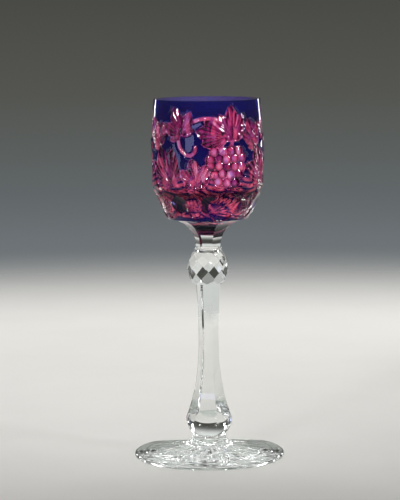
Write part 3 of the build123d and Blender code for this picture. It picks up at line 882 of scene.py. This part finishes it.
def make_casing():
    """Clear casing with its fluted neck and its lens cuts, and the vine carved in it in relief."""
    base = COLLAR_TOP + JOINT_GAP
    flute_rows, flute_end, neck_share = 22, 13.95, 0.04
    wheel_out, wheel_up = NECK_FLAT + FLUTE_WHEEL, LEDGE[1] - FLUTE_WHEEL
    flutes = [(NECK_FLAT + 0.4 * k, base + 0.45 * k) for k in range(flute_rows)]
    wall = [(outer_radius(rise), COLLAR_TOP + rise) for rise in WALL_RISES]
    inner_rises = np.linspace(BOWL_HEIGHT, CARVED_FROM, 16)
    down = [(layer_radius(0, rise), COLLAR_TOP + rise) for rise in inner_rises]
    floor = cup_floor(0, CARVED_FROM, 6)
    profile = [(0, base)] + flutes + wall + down + floor
    casing, ring, column = turn_on_lathe("carved_casing", profile, COLUMNS, FIRST)
    place = corners(casing)
    angle = FIRST + column * 360 / COLUMNS
    first_wall = 1 + flute_rows
    first_down = first_wall + len(wall)

    # Flutes: rough rows, ground to a wheel's curve on each of the six sides from the neck to the ledge
    on = (ring >= 1) & (ring < first_wall)
    off = off_panel(angle[on], STEM_SIDES, PANEL_TURN)
    end = np.arccos((wheel_out - flute_end * np.cos(off)) / FLUTE_WHEEL)
    share = (ring[on] - 1) / flute_rows
    turn = np.clip(share * (1 + neck_share) - neck_share, 0, None) * end
    radius = (wheel_out - FLUTE_WHEEL * np.cos(turn)) / np.cos(off)
    height = np.where(ring[on] == 1, base, COLLAR_TOP + wheel_up + FLUTE_WHEEL * np.sin(turn))
    place[on] = round_axis(radius, angle[on], height)

    # Wall: leaves and grapes in relief, each in a cut that falls away from the polished ground
    angles, rises, near, relief = carve_wall(COLUMNS, WALL_RISES, LEAVES + LOW_LEAVES)
    shallow, steep, deepest, lens_edge = 0.22, 0.85, 0.95, 0.03
    carved = np.clip((shallow + steep * relief) * np.clip(1 - near / CUT_SLOPE, 0, 1), 0, deepest)
    hollow = lens_depth(angles, rises)
    cut = np.maximum(carved, hollow)
    on = (ring >= first_wall) & (ring < first_down)
    at = (ring[on] - first_wall, column[on])
    place[on] = round_axis(outer_radius(rises[at]) - cut[at], angles[at], COLLAR_TOP + rises[at])
    move_corners(casing, place)
    ground = np.zeros(len(ring), int)
    ground[on] = (hollow[at] > lens_edge) & (near[at] > CUT_SLOPE / 2)

    low, _ = face_bands(casing, ring)
    lens, _ = face_bands(casing, ground)
    first_carved = first_wall + np.searchsorted(WALL_RISES, CARVED_FROM)
    choice = np.where((low == 0) | (low >= first_down), 1, np.where(low < first_carved, 2, 0))
    # The lens hollows take the crystal painted dark as shade
    choice[lens == 1] = 3
    paint_faces(casing, [CRYSTAL, JOINT, BASE_CRYSTAL, LENS_CRYSTAL], choice)
    finish_piece(casing, "crystal_casing", 22)


def make_flashing():
    """Thin blue layer between the casing and the ruby, open where the carving goes through."""
    columns, gap, thinnest = 384, JOINT_GAP, 0.07
    wall_rises = np.linspace(CARVED_FROM, BOWL_HEIGHT, 96)
    angles, rises, near, _ = carve_wall(columns, wall_rises, LEAVES)
    taper = np.clip(near / CUT_SLOPE, 0, 1)
    taper[taper < thinnest] = 0
    taper[rises <= CARVED_FROM] = 1
    out_floor = cup_floor(gap, CARVED_FROM, 28)
    in_floor = cup_floor(FLASHING, CARVED_FROM, 12)
    up = [(layer_radius(gap, rise), COLLAR_TOP + rise) for rise in wall_rises]
    down = [(layer_radius(FLASHING, rise), COLLAR_TOP + rise) for rise in wall_rises[::-1]]
    profile = out_floor[::-1] + up + down + in_floor
    flashing, ring, column = turn_on_lathe("cobalt_flashing", profile, columns, FIRST)
    place = corners(flashing)
    first_up = len(out_floor)
    first_down = first_up + len(up)
    inner = layer_radius(FLASHING, rises)
    outer = inner + taper * (layer_radius(gap, rises) - inner)
    rows = np.arange(len(up))
    for first, order, radius in ((first_up, rows, outer), (first_down, rows[::-1], inner)):
        on = (ring >= first) & (ring < first + len(rows))
        at = (order[ring[on] - first], column[on])
        place[on] = round_axis(radius[at], angles[at], COLLAR_TOP + rises[at])
    move_corners(flashing, place)
    # The sloping casing lifts what is seen of the well, so its strokes are laid out as they are seen
    lift, wall_radius, strokes_end, fade = 0.082, 18, 27.5, 4
    angle = FIRST + column * 360 / columns
    seen = place[:, 2] - COLLAR_TOP - lift * (wall_radius - np.hypot(place[:, 0], place[:, 1]))
    shows = ruby_in_well(angle, seen) * np.clip((strokes_end - seen) / fade, 0, 1) * (ring < first_down)
    shows = shows.astype(np.float32)
    flashing.data.attributes.new("ruby_shows", "FLOAT", "POINT").data.foreach_set("value", shows)

    low, high = face_bands(flashing, ring)
    choice = np.where(low >= first_down, 1, 0)
    choice[(low == first_down - 1) & (high == first_down)] = 2
    paint_faces(flashing, [COBALT, JOINT, COBALT_EDGE], choice)
    cut_windows(flashing, ring, column, [(first_up, rows), (first_down, rows[::-1])], taper == 0)
    finish_piece(flashing, "cobalt_layer", 30)


def make_lining():
    """Ruby cup: its outside carries the relief of the carving, its inside is smooth."""
    columns, gap, inside = 540, FLASHING + JOINT_GAP, FLASHING + LINING
    deepest, edge_slope, bare_edge, full_painted_shade_depth = 0.75, 0.3, 0.1, 0.7
    rises = np.linspace(CARVED_FROM, BOWL_HEIGHT, 120)
    angles, heights, near, relief = carve_wall(columns, rises, LEAVES)
    relief = np.clip(relief, 0, deepest) * np.clip(-near / edge_slope, 0, 1)
    out_floor = cup_floor(gap, CARVED_FROM, 8)
    up = [(layer_radius(gap, rise), COLLAR_TOP + rise) for rise in rises]
    inner_rises = np.linspace(BOWL_HEIGHT, SPRING, 14)
    down = [(layer_radius(inside, rise), COLLAR_TOP + rise) for rise in inner_rises]
    in_floor = cup_floor(inside, SPRING, 6)
    profile = out_floor[::-1] + up + down + in_floor
    lining, ring, column = turn_on_lathe("ruby_cup", profile, columns, FIRST)
    place = corners(lining)
    first_up = len(out_floor)
    first_down = first_up + len(up)
    on = (ring >= first_up) & (ring < first_down)
    at = (ring[on] - first_up, column[on])
    radius = layer_radius(FLASHING, heights[at]) - np.maximum(relief[at], JOINT_GAP)
    place[on] = round_axis(radius, angles[at], COLLAR_TOP + heights[at])
    move_corners(lining, place)
    bare = np.zeros(len(ring), int)
    bare[on] = near[at] < bare_edge
    # The depth of the cut also sets how dark the carved ruby is painted: painted shade, darkest at this depth
    # and below
    depth = np.zeros(len(ring), np.float32)
    depth[on] = np.clip(relief[at] / full_painted_shade_depth, 0, 1)
    lining.data.attributes.new("cut_depth", "FLOAT", "POINT").data.foreach_set("value", depth)

    low, _ = face_bands(lining, ring)
    cleared, _ = face_bands(lining, bare)
    choice = np.where(low >= first_down - 1, 2, np.where(cleared == 1, 1, 0))
    paint_faces(lining, [JOINT, RUBY_CARVED, RUBY_CUP], choice)
    finish_piece(lining, "ruby_lining", 30)


make_foot()
make_button()
make_stem()
make_knop()
make_collar()
make_casing()
make_flashing()
make_lining()


# Studio

def add_floor():
    """Pale paper under the glass that runs out into the dark of the room."""
    clear_selection()
    bpy.ops.mesh.primitive_circle_add(
        vertices=96, radius=1.4, fill_type="NGON", location=(0, 0, -0.05 * MM)
    )
    floor = bpy.context.object
    floor.name = floor.data.name = "paper_floor"
    material, tree = new_material("matt_paper_sweep")
    place = add_node(tree, "ShaderNodeTexCoord")
    far = add_node(tree, "ShaderNodeVectorMath", {"operation": "LENGTH"}, links={0: (place, "Object")})
    fade = add_node(
        tree, "ShaderNodeMapRange", {"interpolation_type": "SMOOTHSTEP"},
        {"From Min": 0.30, "From Max": 0.66, "To Min": 0.0, "To Max": 1.0}, {"Value": (far, "Value")},
    )
    # The fibres of paper are too fine to show, so its mottling is drawn coarser
    mottle = add_node(
        tree, "ShaderNodeTexNoise", values={"Scale": 1 / (40 * MM), "Detail": 3.0},
        links={"Vector": (place, "Object")},
    )
    tone = add_node(
        tree, "ShaderNodeMix", {"data_type": "RGBA"},
        {"A": linear("#DCDAD5"), "B": linear("#E2E0DB")}, {"Factor": (mottle, "Fac")},
    )
    paper = add_node(tree, "ShaderNodeBsdfDiffuse", links={"Color": (tone, "Result")})
    gone = add_node(tree, "ShaderNodeBsdfTransparent")
    both = add_node(
        tree, "ShaderNodeMixShader", links={"Fac": (fade, "Result"), 1: (paper, "BSDF"), 2: (gone, "BSDF")}
    )
    add_node(tree, "ShaderNodeOutputMaterial", links={"Surface": (both, "Shader")})
    floor.data.materials.append(material)


def add_softbox(name, place, target, width, height, power, colour="#FFFFFF", spread=180, in_glass=True):
    """A soft lamp of that size that points at a spot, and may be kept from showing in the glass."""
    lamp = bpy.data.lights.new(name, "AREA")
    lamp.shape = "RECTANGLE"
    lamp.size, lamp.size_y, lamp.energy = width, height, power
    lamp.color = linear(colour)[:3]
    lamp.spread = math.radians(spread)
    box = bpy.data.objects.new(name, lamp)
    bpy.context.scene.collection.objects.link(box)
    box.location = place
    aim = np.array(target) - np.array(place)
    yaw = math.atan2(-aim[0], aim[1])
    pitch = math.atan2(aim[2], math.hypot(aim[0], aim[1]))
    box.rotation_euler = (math.radians(90) + pitch, 0, yaw)
    box.visible_camera = False
    box.visible_glossy = box.visible_transmission = in_glass


def light_room():
    """Even dim light, and a dark wall that the eye, the glass and its reflections see all round, with a pale
    ceiling behind the glass. Seen through the glass, the pale paper runs on to the wall."""
    world = bpy.data.worlds.new("studio_room")
    bpy.context.scene.world = world
    world.use_nodes = True
    tree = world.node_tree
    tree.nodes.clear()
    place = add_node(tree, "ShaderNodeTexCoord")
    axes = add_node(tree, "ShaderNodeSeparateXYZ", links={"Vector": (place, "Generated")})
    level = add_node(
        tree, "ShaderNodeMapRange", values={"From Min": -0.16, "From Max": 0.02},
        links={"Value": (axes, "Z")},
    )
    wall = add_node(tree, "ShaderNodeValToRGB", links={"Fac": (level, "Result")})
    ramp = wall.color_ramp
    ramp.elements[0].position, ramp.elements[0].color = 0.0, linear("#7C8184")
    ramp.elements[1].position, ramp.elements[1].color = 1.0, linear("#444540")
    for spot, code in ((0.27, "#6C7275"), (0.39, "#616668"), (0.51, "#5A5E5C"), (0.64, "#545551")):
        ramp.elements.new(spot).color = linear(code)
    over = add_node(
        tree, "ShaderNodeMapRange", {"interpolation_type": "SMOOTHSTEP"},
        {"From Min": 0.12, "From Max": 0.5}, {"Value": (axes, "Z")},
    )
    behind = add_node(
        tree, "ShaderNodeMapRange", {"interpolation_type": "SMOOTHSTEP"},
        {"From Min": 0.0, "From Max": 0.5}, {"Value": (axes, "Y")},
    )
    ceiling = add_node(
        tree, "ShaderNodeMath", {"operation": "MULTIPLY"},
        links={0: (over, "Result"), 1: (behind, "Result")},
    )
    room = add_node(
        tree, "ShaderNodeMix", {"data_type": "RGBA"}, {"B": linear("#E4E6E4")},
        {"Factor": (ceiling, "Value"), "A": (wall, "Color")},
    )
    path = add_node(tree, "ShaderNodeLightPath")
    below = add_node(
        tree, "ShaderNodeMapRange", {"interpolation_type": "SMOOTHSTEP"},
        {"From Min": 0.0, "From Max": -0.05}, {"Value": (axes, "Z")},
    )
    paper = add_node(
        tree, "ShaderNodeMath", {"operation": "MULTIPLY"},
        links={0: (below, "Result"), 1: (path, "Is Transmission Ray")},
    )
    ground = add_node(
        tree, "ShaderNodeMix", {"data_type": "RGBA"}, {"B": linear("#D4D6D4")},
        {"Factor": (paper, "Value"), "A": (room, "Result")},
    )
    seen = add_node(
        tree, "ShaderNodeMath", {"operation": "MAXIMUM"},
        links={0: (path, "Is Camera Ray"), 1: (path, "Is Glossy Ray")},
    )
    shown = add_node(
        tree, "ShaderNodeMath", {"operation": "MAXIMUM"},
        links={0: (seen, "Value"), 1: (path, "Is Transmission Ray")},
    )
    fill = add_node(tree, "ShaderNodeBackground", values={"Color": linear("#FFFFFF"), "Strength": 0.25})
    view = add_node(tree, "ShaderNodeBackground", links={"Color": (ground, "Result")})
    both = add_node(
        tree, "ShaderNodeMixShader",
        links={"Fac": (shown, "Value"), 1: (fill, "Background"), 2: (view, "Background")},
    )
    add_node(tree, "ShaderNodeOutputWorld", links={"Surface": (both, "Shader")})


def add_camera():
    """Camera a little above the rim, looking slightly down."""
    camera = bpy.data.cameras.new("camera")
    camera.lens, camera.sensor_width = 155.3, 36.0
    eye = bpy.data.objects.new("camera", camera)
    bpy.context.scene.collection.objects.link(eye)
    eye.location = (0, -0.756, 0.1627)
    yaw, pitch, roll = math.radians(0.213), math.radians(90 - 6.72), math.radians(-0.45)
    aim = Matrix.Rotation(yaw, 3, "Z") @ Matrix.Rotation(pitch, 3, "X") @ Matrix.Rotation(roll, 3, "Z")
    eye.rotation_euler = aim.to_euler()
    bpy.context.scene.camera = eye


add_floor()
add_softbox("softbox_over", (0.0, 0.36, 0.45), (0, 0.3, 0), 0.4, 0.4, 1.45, in_glass=False)
add_softbox("window_left", (-0.50, -0.24, 0.065), (0, 0, 0.065), 0.18, 0.12, 0.14, "#C4CCFF")
add_softbox("window_front", (-0.35, -0.49, 0.095), (0, 0, 0.095), 0.19, 0.08, 0.14, "#C4CCFF")
add_softbox("window_top", (-0.27, -0.64, 0.17), (0, 0, 0.17), 0.35, 0.035, 0.12, "#C4CCFF")
add_softbox("strip_left", (-0.36, 0.46, 0.22), (0, 0, 0.09), 0.05, 0.3, 0.6)
add_softbox("strip_right", (0.36, 0.46, 0.22), (0, 0, 0.09), 0.05, 0.3, 0.6)
add_softbox("spot_left", (-0.30, -0.55, 0.36), (0, 0, 0.12), 0.12, 0.12, 0.072, spread=28)
add_softbox("spot_right", (0.50, -0.30, 0.36), (0, 0, 0.12), 0.12, 0.12, 0.076, spread=28)
light_room()
add_camera()

scene = bpy.context.scene
scene.view_settings.view_transform = "Standard"
# Layers of clear joints and of glass need long light paths
scene.cycles.max_bounces = 32
scene.cycles.transmission_bounces = 32
scene.cycles.glossy_bounces = 12
scene.cycles.transparent_max_bounces = 96
